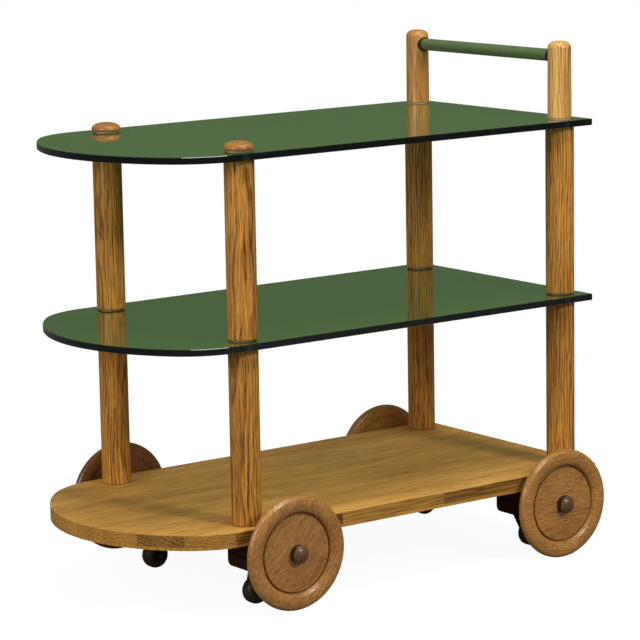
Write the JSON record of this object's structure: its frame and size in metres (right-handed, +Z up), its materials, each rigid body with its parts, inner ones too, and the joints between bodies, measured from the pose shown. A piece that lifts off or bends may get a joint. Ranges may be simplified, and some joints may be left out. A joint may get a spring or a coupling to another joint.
{
  "type": "bar cart",
  "caption": "Bar cart with a round-nosed oak base shelf, green glass shelves on turned posts, a handle rod, wooden side wheels and hidden swivel casters.",
  "frame": {"origin": "on the floor, under the middle of the bounding box, which is the middle of the bottom shelf", "axes": "+X from the round nose (front) towards the handle (rear), +Y across the cart towards the side that is far from the picture's camera, +Z up"},
  "size_m": [0.8269, 0.5076, 0.7945],
  "materials": {
    "post_oak": "satin",
    "handle_oak": "satin",
    "cap_oak": "satin",
    "shelf_oak": "satin",
    "stave_oak": "satin",
    "pale_oak": "satin",
    "wheel_oak": "satin",
    "pin_oak": "satin",
    "block_oak": "satin",
    "collar_oak": "satin",
    "green_glass": "polished",
    "rod_glass": "polished",
    "clear_pad": "glossy",
    "clear_sleeve": "glossy",
    "black_rubber": "matte",
    "tyre_rubber": "matte",
    "hub_plastic": "matte",
    "fork_steel": "satin",
    "plate_steel": "zinc plated",
    "screw_steel": "zinc plated"
  },
  "bodies": {
    "cart": {"shelf_core": "stave_oak", "shelf_top_veneer": "shelf_oak", "shelf_bottom_layer": "pale_oak", "middle_glass_shelf": "green_glass", "top_glass_shelf": "green_glass", "lower_post_front_left": "post_oak", "upper_post_front_left": "post_oak", "axle_block_front_left": "block_oak", "wheel_pin_front_left": "pin_oak", "lower_post_front_right": "post_oak", "upper_post_front_right": "post_oak", "axle_block_front_right": "block_oak", "wheel_pin_front_right": "pin_oak", "lower_post_rear_left": "post_oak", "upper_post_rear_left": "post_oak", "axle_block_rear_left": "block_oak", "wheel_pin_rear_left": "pin_oak", "lower_post_rear_right": "post_oak", "upper_post_rear_right": "post_oak", "axle_block_rear_right": "block_oak", "wheel_pin_rear_right": "pin_oak", "front_cap_left": "cap_oak", "handle_post_left": "handle_oak", "front_cap_right": "cap_oak", "handle_post_right": "handle_oak", "handle_rod": "rod_glass", "handle_grommets": "black_rubber", "wheel_collars": "collar_oak", "caster_plates": "plate_steel", "caster_kingpins": "plate_steel", "caster_screws": "screw_steel", "block_screws": "screw_steel", "post_screws": "screw_steel", "middle_glass_pads": "clear_pad", "top_glass_pads": "clear_pad", "middle_glass_sleeves": "clear_sleeve", "top_glass_sleeves": "clear_sleeve", "middle_studs": "screw_steel", "top_studs": "screw_steel"},
    "rolling_wheel_front_left": {"wheel_front_left": "wheel_oak"},
    "caster_front_left": {"caster_fork_front_left": "fork_steel", "caster_axle_front_left": "plate_steel"},
    "caster_wheel_front_left": {"caster_tyre_front_left": "tyre_rubber", "caster_hub_front_left": "hub_plastic"},
    "rolling_wheel_front_right": {"wheel_front_right": "wheel_oak"},
    "caster_front_right": {"caster_fork_front_right": "fork_steel", "caster_axle_front_right": "plate_steel"},
    "caster_wheel_front_right": {"caster_tyre_front_right": "tyre_rubber", "caster_hub_front_right": "hub_plastic"},
    "rolling_wheel_rear_left": {"wheel_rear_left": "wheel_oak"},
    "caster_rear_left": {"caster_fork_rear_left": "fork_steel", "caster_axle_rear_left": "plate_steel"},
    "caster_wheel_rear_left": {"caster_tyre_rear_left": "tyre_rubber", "caster_hub_rear_left": "hub_plastic"},
    "rolling_wheel_rear_right": {"wheel_rear_right": "wheel_oak"},
    "caster_rear_right": {"caster_fork_rear_right": "fork_steel", "caster_axle_rear_right": "plate_steel"},
    "caster_wheel_rear_right": {"caster_tyre_rear_right": "tyre_rubber", "caster_hub_rear_right": "hub_plastic"}
  },
  "joints": [
    {"name": "wheel_front_left_spin", "type": "hinge", "parent": "cart", "child": "rolling_wheel_front_left", "pos_m": [-0.1855, -0.2345, 0.095], "axis": [0, 1, 0], "continuous": true},
    {"name": "wheel_front_right_spin", "type": "hinge", "parent": "cart", "child": "rolling_wheel_front_right", "pos_m": [-0.1855, 0.2345, 0.095], "axis": [0, 1, 0], "continuous": true},
    {"name": "wheel_rear_left_spin", "type": "hinge", "parent": "cart", "child": "rolling_wheel_rear_left", "pos_m": [0.3285, -0.2265, 0.086], "axis": [0, 1, 0], "continuous": true},
    {"name": "wheel_rear_right_spin", "type": "hinge", "parent": "cart", "child": "rolling_wheel_rear_right", "pos_m": [0.3285, 0.2265, 0.086], "axis": [0, 1, 0], "continuous": true},
    {"name": "caster_front_left_swivel", "type": "hinge", "parent": "cart", "child": "caster_front_left", "pos_m": [-0.178, -0.1345, 0.05], "axis": [0, 0, 1], "continuous": true},
    {"name": "caster_front_left_roll", "type": "hinge", "parent": "caster_front_left", "child": "caster_wheel_front_left", "pos_m": [-0.188, -0.1345, 0.02], "axis": [0, 1, 0], "continuous": true},
    {"name": "caster_front_right_swivel", "type": "hinge", "parent": "cart", "child": "caster_front_right", "pos_m": [-0.178, 0.1345, 0.05], "axis": [0, 0, 1], "continuous": true},
    {"name": "caster_front_right_roll", "type": "hinge", "parent": "caster_front_right", "child": "caster_wheel_front_right", "pos_m": [-0.188, 0.1345, 0.02], "axis": [0, 1, 0], "continuous": true},
    {"name": "caster_rear_left_swivel", "type": "hinge", "parent": "cart", "child": "caster_rear_left", "pos_m": [0.333, -0.1345, 0.05], "axis": [0, 0, 1], "continuous": true},
    {"name": "caster_rear_left_roll", "type": "hinge", "parent": "caster_rear_left", "child": "caster_wheel_rear_left", "pos_m": [0.343, -0.1345, 0.02], "axis": [0, 1, 0], "continuous": true},
    {"name": "caster_rear_right_swivel", "type": "hinge", "parent": "cart", "child": "caster_rear_right", "pos_m": [0.333, 0.1345, 0.05], "axis": [0, 0, 1], "continuous": true},
    {"name": "caster_rear_right_roll", "type": "hinge", "parent": "caster_rear_right", "child": "caster_wheel_rear_right", "pos_m": [0.343, 0.1345, 0.02], "axis": [0, 1, 0], "continuous": true}
  ]
}
